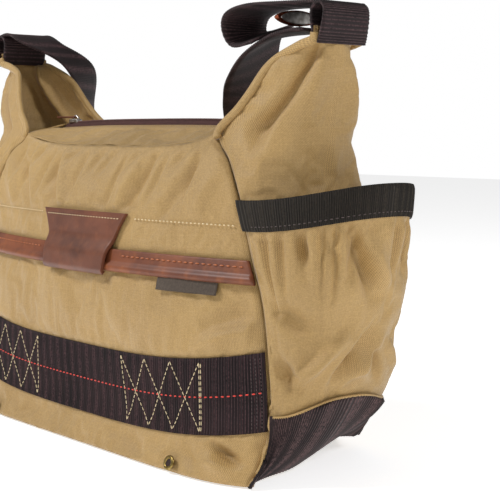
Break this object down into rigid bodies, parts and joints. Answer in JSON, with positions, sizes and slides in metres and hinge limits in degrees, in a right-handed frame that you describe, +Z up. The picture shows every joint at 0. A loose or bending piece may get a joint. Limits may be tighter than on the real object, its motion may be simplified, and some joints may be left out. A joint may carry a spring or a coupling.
{
  "type": "soft shoulder bag",
  "caption": "Soft zip-top field shoulder bag with bulging elastic end pockets, leather and webbing trim, padded insert and webbing sling.",
  "frame": {"origin": "on the ground under the middle of the bag, without its sling", "axes": "+X along the bag towards the right end pocket, -Y towards the trimmed front, +Z up"},
  "size_m": [0.477, 0.224, 0.308],
  "materials": {
    "khaki_nylon": "ripstop nylon, slightly shiny",
    "brown_webbing": "ribbed flat webbing",
    "elastic": "ribbed elastic",
    "brown_leather": "oiled, with painted edges",
    "zip_tape": "woven tape and nylon coil",
    "satin_metal": "satin",
    "aged_brass": "antiqued",
    "woven_label": "woven, plain",
    "padded_lining": "brushed foam-backed lining",
    "stiff_board": "matt"
  },
  "bodies": {
    "bag": {"front_panel": "khaki_nylon", "back_panel": "khaki_nylon", "base_panel": "brown_webbing", "base_board": "stiff_board", "end_panel_right": "khaki_nylon", "end_panel_left": "khaki_nylon", "end_pocket_right": "khaki_nylon", "end_pocket_left": "khaki_nylon", "pocket_band_right": "elastic", "pocket_band_left": "elastic", "toe_cup_right": "brown_webbing", "toe_cup_left": "brown_webbing", "front_webbing": "brown_webbing", "leather_strip": "brown_leather", "woven_label": "woven_label", "leather_tab": "brown_leather", "eyelet_right": "aged_brass", "eyelet_left": "aged_brass", "top_gusset_right": "khaki_nylon", "top_gusset_left": "khaki_nylon", "ear_loop_right": "brown_webbing", "ear_loop_left": "brown_webbing", "shoulder_strap": "brown_webbing", "strap_tail": "brown_webbing", "insert_floor": "padded_lining", "insert_front": "padded_lining", "insert_back": "padded_lining", "insert_right": "padded_lining", "insert_left": "padded_lining"},
    "front_flap": {"top_facing_front": "khaki_nylon", "zip_half_front": "zip_tape"},
    "back_flap": {"top_facing_back": "khaki_nylon", "zip_half_back": "zip_tape"},
    "slider": {"zip_slider": "satin_metal"},
    "pull": {"zip_pull": "brown_leather"},
    "adjuster": {"strap_bar": "satin_metal"},
    "divider_right": {"divider_right": "padded_lining"},
    "divider_left": {"divider_left": "padded_lining"}
  },
  "joints": [
    {"name": "front_flap_fold", "type": "hinge", "parent": "bag", "child": "front_flap", "pos_m": [0, -0.04, 0.22], "axis": [1, 0, 0], "range_deg": [0, 80]},
    {"name": "back_flap_fold", "type": "hinge", "parent": "bag", "child": "back_flap", "pos_m": [0, 0.04, 0.22], "axis": [-1, 0, 0], "range_deg": [0, 24]},
    {"name": "zip_slide", "type": "slide", "parent": "front_flap", "child": "slider", "axis": [1, 0, 0], "range_m": [0, 0.216]},
    {"name": "pull_turn", "type": "hinge", "parent": "slider", "child": "pull", "pos_m": [-0.108, 0, 0.2345], "axis": [0, 1, 0], "range_deg": [0, 175]},
    {"name": "strap_bar_slide", "type": "slide", "parent": "bag", "child": "adjuster", "axis": [-1, 0, 0], "range_m": [0, 0.02]},
    {"name": "divider_right_slide", "type": "slide", "parent": "bag", "child": "divider_right", "axis": [1, 0, 0], "range_m": [-0.022, 0.022]},
    {"name": "divider_left_slide", "type": "slide", "parent": "bag", "child": "divider_left", "axis": [1, 0, 0], "range_m": [-0.022, 0.022]}
  ],
  "couplings": [
    {"joint": "back_flap_fold", "follows": "front_flap_fold", "ratio": 0.3}
  ]
}
